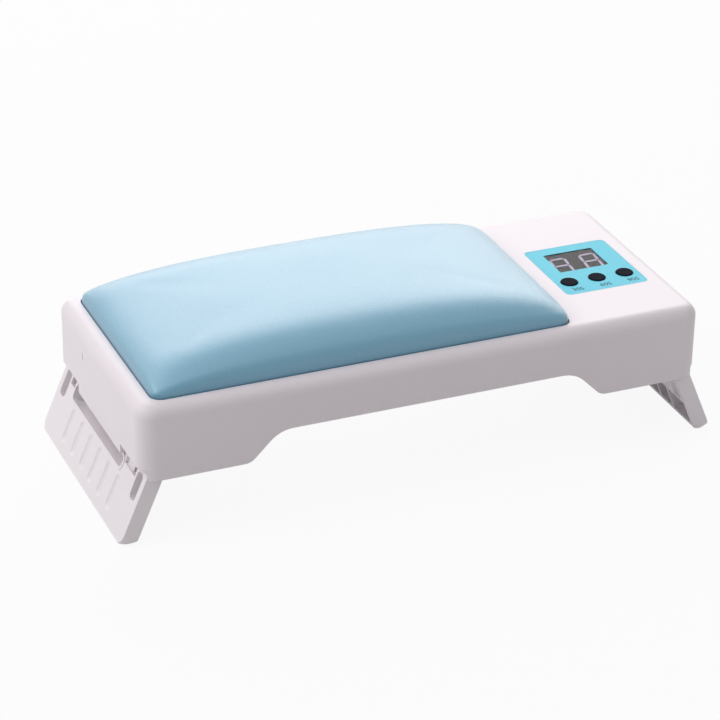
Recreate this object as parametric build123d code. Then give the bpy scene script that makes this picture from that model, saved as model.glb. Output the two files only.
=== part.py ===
"""Table-top nail lamp: a padded hand rest over a lit arch, on two folding legs.

Millimetres. Z is up and the floor is Z = 0. X runs along the lamp towards the control panel,
Y runs from the user's side to the back, and the origin is under the middle of the body.
"""
from math import atan, cos, radians, sin, sqrt, tan
import os

from build123d import *

# Body shell
body_length = 320.0
body_width = 140.0
wall_height = 42.0
floor_to_rim = 37.0
wall = 2.2
corner_radius = 10.0
top_edge_radius = 7.0

# Arch over the hand
arch_rise = 16.0
end_block_length = 59.4
arch_slope = 45.0
arch_foot_radius = 8.0
arch_crown_radius = 18.0

# Slit in the left end wall
slit_width = 0.9
slit_height = 4.5
slit_y = 25.0
slit_above_rim = 24.0

# Lower cover
cover_plate = 2.5
cover_gap = 0.3
cheek_thickness = 2.4
cheek_foot = 1.2

# Legs
leg_splay = 23.0
pivot_from_end = 8.0
leg_outer = 3.0
leg_inner = 5.5
leg_side_gap = 0.4
leg_top_corner = 8.0
leg_foot_corner = 8.0
leg_back_radius = 4.0
leg_toe_bevel = 1.5
foot_flat = 3.0
foot_rise = 2.2

# Room for a leg's top in its end wall, and the skirt over its finger slot
stop_gap = 0.5
end_wall_cut = 5.6

# Openings in a leg: insets from its front and back sides, widths, and distances down from its pivot
finger_slot_front_inset = 31.4
finger_slot_back_inset = 21.9
finger_slot_span = (7.6, 14.2)
finger_slot_corner = 2.5
bar_notch_width = 11.0
tab_slot_inset = 4.4
tab_slot_width = 7.2
tab_slot_span = (4.3, 19.7)
tab_slot_corner = 2.5
lip_width = 1.5
lip_height = 0.4

# Grip grooves and the hollow inner face of a leg
groove_count = 6
groove_pitch = 15.0
groove_radius = 4.0
groove_depth = 1.3
groove_span = (17.3, 37.8)
tray_skin = 3.2
tray_wall = 2.5
tray_start = 21.4
rib_thickness = 2.0

# Hinges
pocket_inset = 13.6
pocket_width = 6.0
pocket_depth = 9.3
recess_width = 9.5
recess_depth = 1.6
lug_gap = 0.3
lug_width = 5.4
lug_radius = 3.2
lug_root = 4.8
pin_radius = 1.5
pin_play = 0.1
pin_fit = 0.02
pin_hold = 8.0
pin_inner_hold = 2.6

# Cushion and the well that it sits in
cushion_end_margin = 10.1
cushion_side_margin = 8.3
cushion_to_panel = 12.7
cushion_corner = 6.0
cushion_crown = 21.4
cushion_end_height = 5.0
cushion_fullness = 2.6
crown_share = 0.15
shoulder_share = 0.7
corner_steps = 3
crown_stations = (0.12, 0.22, 0.38, 0.64)
cushion_skin = 1.2
soft_gap = 0.3
cushion_board_thickness = 3.0
well_depth = 4.0
well_gap = 0.6

# Control panel
panel_length = 49.6
panel_width = 56.4
panel_end_margin = 12.3
panel_y = -2.7
panel_thickness = 0.3
panel_corner = 3.0
panel_gap = 0.15
window_length = 29.6
window_width = 22.4
window_corner = 1.0
window_x_offset = -1.2
window_y_offset = 9.5
lens_thickness = 1.2
lens_lap = 1.8
lens_gap = 0.2
display_lap = 0.8
display_gap = 0.2
display_height = 9.9

# Buttons and their switches
button_count = 3
button_pitch = 16.9
button_y_offset = -14.1
button_radius = 4.75
button_play = 0.25
button_proud = 0.6
button_travel = 0.5
button_edge = 0.4
flange_overlap = 1.2
flange_thickness = 1.2
flange_gap = 0.3
stalk_radius = 2.2
switch_side = 6.0
switch_height = 3.5
plunger_radius = 1.7
plunger_play = 0.1
plunger_reach = 2.5
plunger_depth = 1.0

# Boards
board_thickness = 1.6
control_board_length = 50.0
control_board_width = 61.0
board_screw_inset = 4.0
board_boss_radius = 3.0
led_columns = 9
led_rows = 4
led_end_margin = 9.0
led_row_pitch = 28.0
led_board_edge = 9.0
led_standoff = 2.0
led_standoff_radius = 3.5
led_dome_radius = 2.6
led_dome_recess = 0.3
led_hole_play = 0.7
led_base_side = 5.0
led_base_height = 0.8

# Connectors and leads
header_length = 8.0
header_width = 6.0
header_height = 5.7
plug_length = 4.0
plug_width = 5.0
plug_height = 4.2
lead_radius = 1.3
lead_straight = 8.0
led_header_from_edge = 34.0
led_header_y = -4.0
feed_header_y = -14.0
inlet_header_x_offset = -12.0
inlet_header_y = 14.0
feed_header_inset = 0.5

# Components under the control board: offset from the panel's centre, and size
controller_offset = (9.0, -8.0)
controller_size = (6.0, 5.0, 1.6)
driver_offset = (-1.0, -20.0)
driver_size = (6.5, 6.1, 2.3)
choke_offset = (12.0, -20.0)
choke_size = (7.0, 7.0, 4.0)
capacitor_offset = (12.0, 4.0)
capacitor_radius = 3.1
capacitor_height = 7.0

# Power inlet in the back wall
inlet_above_cover = 7.0
inlet_flange_radius = 5.5
inlet_flange = 1.2
inlet_body_radius = 3.9
inlet_length = 16.0
inlet_bore_radius = 2.75
inlet_bore_depth = 9.5
inlet_pin_radius = 1.05
inlet_pin_recess = 1.0
inlet_nut_across = 11.0
inlet_nut_thickness = 2.0
inlet_play = 0.1

# Screws
screw_radius = 1.5
screw_play = 0.05
screw_hole_play = 0.2
screw_head_radius = 2.8
screw_head_height = 1.8
screw_length = 9.0
head_recess = 2.0
head_seat = 2.0
head_play = 0.3
cup_radius = 4.5
boss_radius = 3.5
small_screw_radius = 1.2
small_head_radius = 2.2
small_head_height = 1.5
small_screw_length = 5.0
cover_screw_end_inset = 20.0
cover_screw_middle = 48.0
cover_screw_side_inset = 11.0
cushion_screw_inset = 26.0
cushion_screw_bite = 2.4

# Heights
rim = floor_to_rim
top = rim + wall_height
ceiling = top - wall
cover_bottom = rim + arch_rise
cover_top = cover_bottom + cover_plate
cup_top = cover_bottom + head_recess + head_seat
well_floor = top - well_depth
tub_bottom = well_floor - wall
lens_top = top - panel_thickness
lens_bottom = lens_top - lens_thickness
board_top = lens_bottom - display_height
board_bottom = board_top - board_thickness
led_board_bottom = cover_top + led_standoff
led_board_top = led_board_bottom + board_thickness
inlet_z = cover_top + inlet_above_cover

# Plan positions
end = body_length / 2
side = body_width / 2
inner_end = end - wall
inner_side = side - wall
inner_corner = max(corner_radius - wall, 0.5)
arch_foot = end - end_block_length
arch_crown = arch_foot - arch_rise / tan(radians(arch_slope))
panel_x = end - panel_end_margin - panel_length / 2
cushion_left = -end + cushion_end_margin
cushion_right = panel_x - panel_length / 2 - cushion_to_panel
cushion_length = cushion_right - cushion_left
cushion_width = body_width - 2 * cushion_side_margin
cushion_x = (cushion_left + cushion_right) / 2
tub_right = cushion_right + well_gap + wall
window_x = panel_x + window_x_offset
window_y = panel_y + window_y_offset
button_y = panel_y + button_y_offset
button_xs = [panel_x + (i - (button_count - 1) / 2) * button_pitch for i in range(button_count)]
led_pitch = 2 * (arch_crown - led_end_margin) / (led_columns - 1)
led_board_length = led_pitch * (led_columns - 1) + 2 * led_board_edge
led_board_width = led_row_pitch * (led_rows - 1) + 2 * led_board_edge

# Frame of the left leg: its width along Y, its length down from the pivot, its thickness outwards
pivot_x = -end + pivot_from_end
pivot_z = rim + leg_outer
splay = radians(leg_splay)
leg_outward = Vector(-cos(splay), 0, sin(splay))
leg_plane = Plane(origin=(pivot_x, 0, pivot_z), x_dir=(0, 1, 0), z_dir=leg_outward)
leg_half_width = inner_side - leg_side_gap
leg_reach = (pivot_z + leg_outer * sin(splay)) / cos(splay)
leg_inner_reach = (pivot_z - foot_rise - leg_inner * sin(splay)) / cos(splay)
leg_through = (-leg_inner - 1, leg_outer + 1)
bevel = min(leg_toe_bevel, leg_outer)
finger_slot_reach = (-leg_half_width + finger_slot_front_inset, leg_half_width - finger_slot_back_inset)
bar_notch_reach = (finger_slot_reach[1] - bar_notch_width, finger_slot_reach[1])
skirt_reach = (finger_slot_reach[0], bar_notch_reach[0])
tab_slot_reach = (leg_half_width - tab_slot_inset - tab_slot_width, leg_half_width - tab_slot_inset)
pocket_end = leg_half_width - pocket_inset
pocket_reaches = ((-pocket_end, pocket_width - pocket_end), (pocket_end - pocket_width, pocket_end))
recess_reach = (pocket_reaches[0][1], pocket_reaches[0][1] + recess_width)


def block(x_range, y_range, z_range):
    """Box between three pairs of limits."""
    ranges = (x_range, y_range, z_range)
    sizes = [high - low for low, high in ranges]
    middle = [(high + low) / 2 for low, high in ranges]
    return Pos(*middle) * Box(*sizes)


def post(x, y, radius, z_range):
    """Upright cylinder between two heights."""
    upright = Cylinder(radius, z_range[1] - z_range[0], align=(Align.CENTER, Align.CENTER, Align.MIN))
    return Pos(x, y, z_range[0]) * upright


def slab(x, length, width, corner, z_range):
    """Upright block with rounded corners in plan, centred on the X axis."""
    plan = RectangleRounded(length, width, corner)
    return Pos(x, 0, z_range[0]) * extrude(plan, z_range[1] - z_range[0])


def rod_along_y(x, z, radius, y_range):
    """Level cylinder across the lamp."""
    rod = Cylinder(radius, y_range[1] - y_range[0], align=(Align.CENTER, Align.CENTER, Align.MIN))
    return Pos(x, y_range[0], z) * Rot(-90, 0, 0) * rod


def along_y(points, radii, y_range):
    """Outline in X and Z, rounded at its inner points, carried from one Y to another."""
    path = FilletPolyline(*[(x, y_range[0], z) for x, z in points], radius=radii)
    face = make_face(path + Line(path @ 1, path @ 0))
    return extrude(face, amount=y_range[1] - y_range[0], dir=(0, 1, 0))


def turned(shape):
    """The same shape at the other end of the lamp."""
    return Rot(0, 0, 180) * shape


def leg_box(width_range, length_range, thickness_range):
    """Box in the frame of the left leg."""
    return leg_plane * block(width_range, length_range, thickness_range)


def leg_slot(width_range, length_range, corner, thickness_range):
    """Upright rounded slot in the frame of the left leg."""
    outline = RectangleRounded(width_range[1] - width_range[0], length_range[1] - length_range[0], corner)
    centre = Pos(sum(width_range) / 2, sum(length_range) / 2, thickness_range[0])
    return leg_plane * centre * extrude(outline, thickness_range[1] - thickness_range[0])


def leg_groove(y):
    """Round-ended cutter for a soft groove down the outer face of the left leg."""
    half_width = sqrt(groove_depth * (2 * groove_radius - groove_depth))
    ends = (groove_span[0] + half_width, groove_span[1] - half_width)
    cutter = Pos(0, sum(ends) / 2, 0) * Rot(90, 0, 0) * Cylinder(groove_radius, ends[1] - ends[0])
    for length in ends:
        cutter += Pos(0, length, 0) * Sphere(groove_radius)
    return leg_plane * Pos(y, 0, leg_outer + groove_radius - groove_depth) * cutter


def leg_xz(thickness, length):
    """X and Z of a point in the frame of the left leg."""
    point = leg_plane.from_local_coords((0, length, thickness))
    return (point.X, point.Z)


def grid(x, y, x_out, y_out):
    """Four plan points round a centre."""
    return [(x + sx * x_out, y + sy * y_out) for sx in (-1, 1) for sy in (-1, 1)]


def cover_screw_points():
    """Plan points of the screws that hold the lower cover."""
    y_out = side - cover_screw_side_inset
    return grid(0, 0, end - cover_screw_end_inset, y_out) + grid(0, 0, cover_screw_middle, y_out)


def cushion_screw_points():
    """Plan points of the screws under the cushion board."""
    x_out = cushion_length / 2 - cushion_screw_inset
    return grid(cushion_x, 0, x_out, cushion_width / 2 - cushion_screw_inset)


def board_screw_points():
    """Plan points of the screws of the control board."""
    x_out = control_board_length / 2 - board_screw_inset
    return grid(panel_x, panel_y, x_out, control_board_width / 2 - board_screw_inset)


def led_screw_points():
    """Plan points of the LED board's screws, between its beads."""
    return grid(0, 0, led_pitch * (led_columns - 2) / 2, led_row_pitch * (led_rows - 2) / 2)


def led_points():
    """Plan points of the lamp beads."""
    xs = [(i - (led_columns - 1) / 2) * led_pitch for i in range(led_columns)]
    ys = [(j - (led_rows - 1) / 2) * led_row_pitch for j in range(led_rows)]
    return [(x, y) for x in xs for y in ys]


def arch_cutter():
    """Everything under the arch line, through the front and back walls."""
    below = rim - arch_rise
    left = [(-end, below), (-end, rim), (-arch_foot, rim), (-arch_crown, cover_bottom)]
    right = [(-x, z) for x, z in reversed(left)]
    radii = [0, arch_foot_radius, arch_crown_radius, arch_crown_radius, arch_foot_radius, 0]
    return along_y(left + right, radii, (-body_width, body_width))


def end_wall_cutter():
    """Room for a leg's top in the left end wall, and the bevel behind the skirt."""
    x_range = (-end - 1, -end + corner_radius)
    z_range = (rim - 1, rim + end_wall_cut)
    front = block(x_range, (-leg_half_width - leg_side_gap, skirt_reach[0]), z_range)
    back = block(x_range, (skirt_reach[1], leg_half_width + leg_side_gap), z_range)
    swept = leg_box(skirt_reach, (-leg_inner, leg_reach), (-leg_inner, leg_outer + stop_gap))
    return front + back + (swept & block((-end - 1, pivot_x), skirt_reach, z_range))


def roof_over(x):
    """Height of the housing's roof above a plan point."""
    return tub_bottom if x < tub_right else ceiling


def upper_housing():
    """Moulded shell with the cushion well, the panel seat and the bosses inside."""
    outer = slab(0, body_length, body_width, corner_radius, (rim, top))
    outer = fillet(outer.faces().sort_by(Axis.Z)[-1].edges(), min(top_edge_radius, 0.9 * corner_radius))
    hollow = slab(0, 2 * inner_end, 2 * inner_side, inner_corner, (rim, ceiling))
    hollow = fillet(hollow.faces().sort_by(Axis.Z)[-1].edges(), 0.6 * inner_corner)
    shell = outer - hollow - arch_cutter()

    well_length = cushion_length + 2 * well_gap
    well_width = cushion_width + 2 * well_gap
    well_corner = cushion_corner + well_gap
    tub_range = (tub_bottom, ceiling)
    tub = slab(cushion_x, well_length + 2 * wall, well_width + 2 * wall, well_corner + wall, tub_range)
    shell += tub & outer
    shell -= slab(cushion_x, well_length, well_width, well_corner, (well_floor, top + 1))

    for x, y in cover_screw_points():
        shell += post(x, y, boss_radius, (cup_top, roof_over(x) + wall / 2))
        shell -= post(x, y, screw_radius + screw_play, (cup_top, cup_top + screw_length))
    for x, y in board_screw_points():
        shell += post(x, y, board_boss_radius, (board_top, ceiling + wall / 2))
        shell -= post(x, y, small_screw_radius + screw_play, (board_top, board_top + small_screw_length))
    for x, y in cushion_screw_points():
        shell -= post(x, y, screw_radius + screw_hole_play, (tub_bottom - 1, well_floor + 1))

    seat_length = panel_length + 2 * panel_gap
    seat_width = panel_width + 2 * panel_gap
    seat = extrude(RectangleRounded(seat_length, seat_width, panel_corner + panel_gap), 1 + panel_thickness)
    shell -= Pos(panel_x, panel_y, top - panel_thickness) * seat
    shell -= behind_window(lens_lap + lens_gap, (lens_bottom, top + 1))
    shell -= behind_window(display_lap + display_gap, (ceiling - 1, top))
    for x in button_xs:
        shell -= post(x, button_y, button_radius + button_play, (ceiling - 1, top + 1))

    back = inner_side - 1
    shell -= rod_along_y(panel_x, inlet_z, inlet_body_radius + inlet_play, (back, side + 1))
    shell -= rod_along_y(panel_x, inlet_z, inlet_flange_radius + inlet_play, (side - inlet_flange, side + 1))
    slit_z = rim + slit_above_rim
    slit_y_range = (slit_y - slit_width / 2, slit_y + slit_width / 2)
    shell -= block((-end - 1, -inner_end + 1), slit_y_range, (slit_z, slit_z + slit_height))

    cutter = end_wall_cutter()
    return shell - cutter - turned(cutter)


def behind_window(lap, z_range):
    """Block behind the label's window that reaches past the window's edges by a lap."""
    x_out = window_length / 2 + lap
    y_out = window_width / 2 + lap
    return block((window_x - x_out, window_x + x_out), (window_y - y_out, window_y + y_out), z_range)


def cheek():
    """Sloped wall of the lower cover that closes the left end of the arch."""
    shift = cheek_thickness / sin(radians(arch_slope))
    foot = -arch_foot - cheek_foot - arch_foot_radius * tan(radians(arch_slope / 2))
    points = [
        (foot, rim),
        (-arch_foot, rim),
        (-arch_crown, cover_bottom),
        (0, cover_bottom),
        (0, cover_top),
        (-arch_crown - shift, cover_top),
        (foot - cheek_foot / 2, rim + cheek_foot),
    ]
    y_limit = inner_side - cover_gap
    return along_y(points, [arch_foot_radius, arch_crown_radius, 0, 0, 0], (-y_limit, y_limit))


def lug_range(pocket):
    """Y limits of the hinge lug in a leg's pocket: it lies at the pocket's outer end."""
    outer_end = max(pocket, key=abs)
    toward_middle = -1 if outer_end > 0 else 1
    first = outer_end + toward_middle * lug_gap
    second = first + toward_middle * lug_width
    return (min(first, second), max(first, second))


def hinge_lugs():
    """Lugs of the left leg, hanging from the lower cover."""
    lugs = []
    for pocket in pocket_reaches:
        y_range = lug_range(pocket)
        points = [
            (pivot_x - lug_radius, pivot_z),
            (pivot_x - lug_radius, cover_top),
            (pivot_x + lug_root, cover_top),
            (pivot_x + lug_root, cover_bottom),
            (pivot_x + lug_radius, pivot_z),
        ]
        lug = along_y(points, [0, 0, 0], y_range)
        lug += rod_along_y(pivot_x, pivot_z, lug_radius, y_range)
        lug -= rod_along_y(pivot_x, pivot_z, pin_radius + pin_play, (y_range[0] - 1, y_range[1] + 1))
        lugs.append(lug)
    return lugs


def lower_cover():
    """Underside of the lamp: plate with the bead holes, arch cheeks and hinge lugs."""
    length = 2 * (inner_end - cover_gap)
    width = 2 * (inner_side - cover_gap)
    cover = slab(0, length, width, max(inner_corner - cover_gap, 0.3), (cover_bottom, cover_top))
    for part in [cheek()] + hinge_lugs():
        cover += part
        cover += turned(part)
    for x, y in cover_screw_points():
        cover += post(x, y, cup_radius, (cover_bottom, cup_top))
        cover -= post(x, y, screw_head_radius + head_play, (cover_bottom - 1, cover_bottom + head_recess))
        cover -= post(x, y, screw_radius + screw_hole_play, (cover_bottom, cup_top + 1))
    for x, y in led_screw_points():
        cover += post(x, y, led_standoff_radius, (cover_bottom, led_board_bottom))
        pilot = (led_board_top - small_screw_length, led_board_bottom + 1)
        cover -= post(x, y, small_screw_radius + screw_play, pilot)
    for x, y in led_points():
        cover -= post(x, y, led_dome_radius + led_hole_play, (cover_bottom - 1, cover_top + 1))
    return cover


def left_leg():
    """Folding leg at the left end, opened against its stop."""
    toe_x = leg_xz(leg_outer, leg_reach)[0]
    profile = [
        leg_xz(-leg_inner, leg_inner_reach),
        leg_xz(-leg_inner, -leg_outer),
        leg_xz(leg_outer, -leg_outer),
        leg_xz(leg_outer, leg_reach - bevel),
        (toe_x + bevel, 0),
        (toe_x + bevel + foot_flat, 0),
    ]
    leg = along_y(profile, [leg_back_radius, leg_outer, 0, 0], (-leg_half_width, leg_half_width))

    plan = FilletPolyline(
        (-leg_half_width, -leg_outer),
        (leg_half_width, -leg_outer),
        (leg_half_width, leg_reach),
        (-leg_half_width, leg_reach),
        radius=[leg_top_corner, leg_top_corner, leg_foot_corner, leg_foot_corner],
        close=True,
    )
    depth = leg_inner + leg_outer
    leg &= leg_plane * Pos(0, 0, -leg_inner) * extrude(make_face(plan), depth)

    lip_reach = (finger_slot_reach[0] - lip_width, finger_slot_reach[1] + lip_width)
    lip_span = (finger_slot_span[0] - lip_width, finger_slot_span[1] + lip_width)
    lip_range = (leg_outer - lip_height, leg_outer + lip_height)
    leg += leg_slot(lip_reach, lip_span, finger_slot_corner + lip_width, lip_range)
    leg -= leg_slot(finger_slot_reach, finger_slot_span, finger_slot_corner, leg_through)
    bar_span = (-2 * leg_outer, finger_slot_span[0] + finger_slot_corner)
    leg -= leg_box(bar_notch_reach, bar_span, leg_through)
    for slot in (tab_slot_reach, tuple(-y for y in reversed(tab_slot_reach))):
        leg -= leg_slot(slot, tab_slot_span, tab_slot_corner, leg_through)
    for pocket in pocket_reaches:
        leg -= leg_box(pocket, (-2 * leg_outer, pocket_depth), leg_through)
    leg -= leg_box(recess_reach, (-2 * leg_outer, pocket_depth), (leg_outer - recess_depth, leg_outer + 1))

    tray = leg_box(
        (-leg_half_width + tray_wall, leg_half_width - tray_wall),
        (tray_start, leg_inner_reach - tray_wall),
        (-leg_inner - 1, leg_outer - tray_skin),
    )
    for i in range(groove_count):
        leg -= leg_groove((i - (groove_count - 1) / 2) * groove_pitch)
    for i in range(groove_count + 1):
        y = (i - groove_count / 2) * groove_pitch
        rib = (y - rib_thickness / 2, y + rib_thickness / 2)
        tray -= leg_box(rib, (tray_start, leg_reach), leg_through)
    leg -= tray

    for y_range in pin_ranges():
        outward_end = max(y_range, key=abs)
        past = leg_half_width + 1 if outward_end > 0 else -leg_half_width - 1
        bore = (min(*y_range, past), max(*y_range, past))
        leg -= rod_along_y(pivot_x, pivot_z, pin_radius + pin_fit, bore)
    return leg


def pin_ranges():
    """Y limits of the two pins of the left leg, each through one pocket."""
    ranges = []
    for low, high in pocket_reaches:
        if high > 0:
            ranges.append((low - pin_inner_hold, high + pin_hold))
        else:
            ranges.append((low - pin_hold, high + pin_inner_hold))
    return ranges


def left_hinge_pins():
    """Steel pins of the left leg."""
    return [rod_along_y(pivot_x, pivot_z, pin_radius, y_range) for y_range in pin_ranges()]


def cushion_section(x, half_width, height, offset, bottom):
    """Cross-section of the cushion: flat base, upright sides, round shoulders and a crowned top."""
    sagitta = crown_share * height
    shoulder = shoulder_share * height
    lean = 2 * atan(sagitta / (half_width - shoulder))
    shoulder_y = half_width - shoulder
    shoulder_z = top + height - sagitta - shoulder * cos(lean)
    radius = shoulder - offset
    middle = radians(45) - lean / 2

    side_y = half_width - offset
    upper = (side_y, shoulder_z)
    bend = (shoulder_y + radius * cos(middle), shoulder_z + radius * sin(middle))
    crest = (shoulder_y + radius * sin(lean), shoulder_z + radius * cos(lean))
    summit = (0, top + height - offset)
    left = [(-y, z) for y, z in (crest, bend, upper)]
    outline = [
        Line((-side_y, bottom), (side_y, bottom)),
        Line((side_y, bottom), upper),
        ThreePointArc(upper, bend, crest),
        ThreePointArc(crest, summit, left[0]),
        ThreePointArc(*left),
        Line(left[2], (-side_y, bottom)),
    ]
    plane = Plane(origin=(x, 0, 0), x_dir=(0, 1, 0), z_dir=(1, 0, 0))
    return plane * make_face(outline)


def cushion_stations():
    """Distance in from a cushion end, half width and height, from that end towards the middle."""
    half_length = cushion_length / 2
    places = []
    for i in range(corner_steps + 1):
        turn = radians(90 * i / corner_steps)
        inset = cushion_corner * (1 - sin(turn))
        places.append((cushion_corner * (1 - cos(turn)), cushion_width / 2 - inset))
    places += [(share * half_length, cushion_width / 2) for share in crown_stations]

    stations = []
    for distance, half_width in places:
        rise = (1 - (1 - distance / half_length) ** cushion_fullness) ** (1 / cushion_fullness)
        stations.append((distance, half_width, max(cushion_end_height, cushion_crown * rise)))
    return stations


def cushion_form(offset, bottom):
    """Crowned cushion form, an offset inside the outer one, above a height."""
    scale = 1 - 2 * offset / cushion_length
    left = [(-cushion_length / 2 + d, w, h) for d, w, h in cushion_stations()]
    right = [(-x, w, h) for x, w, h in reversed(left)]
    stations = left + [(0, cushion_width / 2, cushion_crown)] + right
    sections = [cushion_section(cushion_x + x * scale, w, h, offset, bottom) for x, w, h in stations]
    return loft(sections, ruled=True)


def cushion_cover():
    """Leatherette skin, tucked down beside the cushion board."""
    return cushion_form(0, well_floor + soft_gap) - cushion_form(cushion_skin, well_floor)


def cushion_foam():
    """Foam between the board and the skin."""
    return cushion_form(cushion_skin + soft_gap, well_floor + cushion_board_thickness)


def cushion_board():
    """Stiff base board of the cushion, with pilot holes from below."""
    in_by = cushion_skin + soft_gap
    z_range = (well_floor, well_floor + cushion_board_thickness)
    board = slab(cushion_x, cushion_length - 2 * in_by, cushion_width - 2 * in_by, cushion_corner, z_range)
    for x, y in cushion_screw_points():
        board -= post(x, y, screw_radius + screw_play, (well_floor - 1, well_floor + cushion_screw_bite))
    return board


def screw_up(x, y, head_z, length, radius, head_radius, head_height):
    """Screw with its head under a seat and its shank above it."""
    head = post(x, y, head_radius, (head_z - head_height, head_z))
    return head + post(x, y, radius, (head_z, head_z + length))


def housing_screws():
    """Screws from below through the lower cover into the housing."""
    seat = cover_bottom + head_recess
    size = (screw_length, screw_radius, screw_head_radius, screw_head_height)
    return [screw_up(x, y, seat, *size) for x, y in cover_screw_points()]


def cushion_screws():
    """Screws from inside the housing into the cushion board."""
    size = (wall + cushion_screw_bite, screw_radius, screw_head_radius, screw_head_height)
    return [screw_up(x, y, tub_bottom, *size) for x, y in cushion_screw_points()]


def control_board_screws():
    """Screws from below through the control board into its bosses."""
    size = (small_screw_length, small_screw_radius, small_head_radius, small_head_height)
    return [screw_up(x, y, board_bottom, *size) for x, y in board_screw_points()]


def led_board_screws():
    """Screws from above through the LED board into its standoffs."""
    screws = []
    for x, y in led_screw_points():
        head = post(x, y, small_head_radius, (led_board_top, led_board_top + small_head_height))
        shank = post(x, y, small_screw_radius, (led_board_top - small_screw_length, led_board_top))
        screws.append(head + shank)
    return screws


def panel_overlay():
    """Printed label round the display window and the buttons."""
    label = extrude(RectangleRounded(panel_length, panel_width, panel_corner), panel_thickness)
    label = Pos(panel_x, panel_y, top - panel_thickness) * label
    window = extrude(RectangleRounded(window_length, window_width, window_corner), wall)
    label -= Pos(window_x, window_y, ceiling) * window
    for x in button_xs:
        label -= post(x, button_y, button_radius + button_play, (ceiling, top + 1))
    return label


def button_cap(x):
    """Round key cap with a flange under the roof and a stalk to its switch."""
    flange_top = ceiling - flange_gap
    flange_bottom = flange_top - flange_thickness
    cap = post(x, button_y, button_radius, (flange_bottom, top + button_proud))
    cap = fillet(cap.faces().sort_by(Axis.Z)[-1].edges(), button_edge)
    cap += post(x, button_y, button_radius + flange_overlap, (flange_bottom, flange_top))
    stalk_bottom = board_top + switch_height + plunger_reach
    return cap + post(x, button_y, stalk_radius, (stalk_bottom, flange_bottom))


def switch_plunger(x):
    """Plunger of a key switch, under its cap."""
    base = board_top + switch_height - plunger_depth
    return post(x, button_y, plunger_radius, (base, board_top + switch_height + plunger_reach))


def switch_bodies():
    """Key switch housings on the control board."""
    bodies = []
    half = switch_side / 2
    body_top = board_top + switch_height
    for x in button_xs:
        body = block((x - half, x + half), (button_y - half, button_y + half), (board_top, body_top))
        well = (body_top - plunger_depth - 2 * button_travel, body_top + 1)
        body -= post(x, button_y, plunger_radius + plunger_play, well)
        bodies.append(body)
    return bodies


def control_board():
    """Board under the panel, hung from four bosses."""
    x_range = (panel_x - control_board_length / 2, panel_x + control_board_length / 2)
    y_range = (panel_y - control_board_width / 2, panel_y + control_board_width / 2)
    board = block(x_range, y_range, (board_bottom, board_top))
    for x, y in board_screw_points():
        board -= post(x, y, small_screw_radius + screw_hole_play, (board_bottom - 1, board_top + 1))
    return board


def board_components():
    """Controller, driver transistor, choke and capacitor under the control board."""
    components = []
    for offset, size in (
        (controller_offset, controller_size),
        (driver_offset, driver_size),
        (choke_offset, choke_size),
    ):
        centre = (panel_x + offset[0], panel_y + offset[1], board_bottom - size[2] / 2)
        components.append(Pos(*centre) * Box(*size))
    capacitor_x = panel_x + capacitor_offset[0]
    capacitor_y = panel_y + capacitor_offset[1]
    capacitor_z_range = (board_bottom - capacitor_height, board_bottom)
    return components + [post(capacitor_x, capacitor_y, capacitor_radius, capacitor_z_range)]


def led_board():
    """Long board over the arch that carries the lamp beads."""
    x_range = (-led_board_length / 2, led_board_length / 2)
    y_range = (-led_board_width / 2, led_board_width / 2)
    board = block(x_range, y_range, (led_board_bottom, led_board_top))
    for x, y in led_screw_points():
        board -= post(x, y, small_screw_radius + screw_hole_play, (led_board_bottom - 1, led_board_top + 1))
    return board


def led_beads():
    """Domed lamp beads under the LED board, each in its hole of the lower cover."""
    beads = []
    half = led_base_side / 2
    dome_z = cover_bottom + led_dome_recess + led_dome_radius
    base_bottom = led_board_bottom - led_base_height
    for x, y in led_points():
        bead = block((x - half, x + half), (y - half, y + half), (base_bottom, led_board_bottom))
        bead += post(x, y, led_dome_radius, (dome_z, base_bottom))
        bead += Pos(x, y, dome_z) * Sphere(led_dome_radius, arc_size1=-90, arc_size2=0)
        beads.append(bead)
    return beads


def connector(mouth, facing, header_z_range):
    """Header with its plug: the plug's back is at the mouth point, and it faces along X or Y."""
    along = Vector(*facing)
    across = Vector(along.Y, along.X, 0)
    pieces = []
    for start, length, width, height in (
        (0, plug_length, plug_width, plug_height),
        (plug_length, header_length, header_width, header_height),
    ):
        centre = Vector(*mouth) - along * (start + length / 2)
        size_x = abs(along.X) * length + abs(across.X) * width
        size_y = abs(along.Y) * length + abs(across.Y) * width
        middle_z = sum(header_z_range) / 2
        pieces.append(Pos(centre.X, centre.Y, middle_z) * Box(size_x, size_y, height))
    return pieces


board_header_z = (board_bottom - header_height, board_bottom)
led_header_z = (led_board_top, led_board_top + header_height)
led_mouth = (led_board_length / 2 - led_header_from_edge + plug_length + header_length, led_header_y)
feed_mouth = (panel_x - control_board_length / 2 + feed_header_inset - plug_length, feed_header_y)
inlet_mouth = (panel_x + inlet_header_x_offset, inlet_header_y + plug_length + header_length)


def lead_connectors():
    """Headers and plugs at the ends of the leads."""
    pieces = connector((*led_mouth, 0), (1, 0, 0), led_header_z)
    pieces += connector((*feed_mouth, 0), (-1, 0, 0), board_header_z)
    return pieces + connector((*inlet_mouth, 0), (0, 1, 0), board_header_z)


def lead(start, end_point, direction):
    """Lead that leaves and arrives along one direction, with a slanted run between two bends."""
    way = Vector(*direction)
    first = Vector(*start)
    last = Vector(*end_point)
    second = first + way * lead_straight
    third = last - way * lead_straight
    slant = third - second
    turn = radians(slant.get_angle(way))
    radius = 0.45 * min(lead_straight, slant.length) / tan(turn / 2)
    path = FilletPolyline(first, second, third, last, radius=radius)
    section = Plane(origin=first, z_dir=way) * Circle(lead_radius)
    return sweep(section, path=path)


def led_lead():
    """Lead from the control board to the LED board."""
    start = (*led_mouth, sum(led_header_z) / 2)
    return lead(start, (*feed_mouth, sum(board_header_z) / 2), (1, 0, 0))


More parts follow.
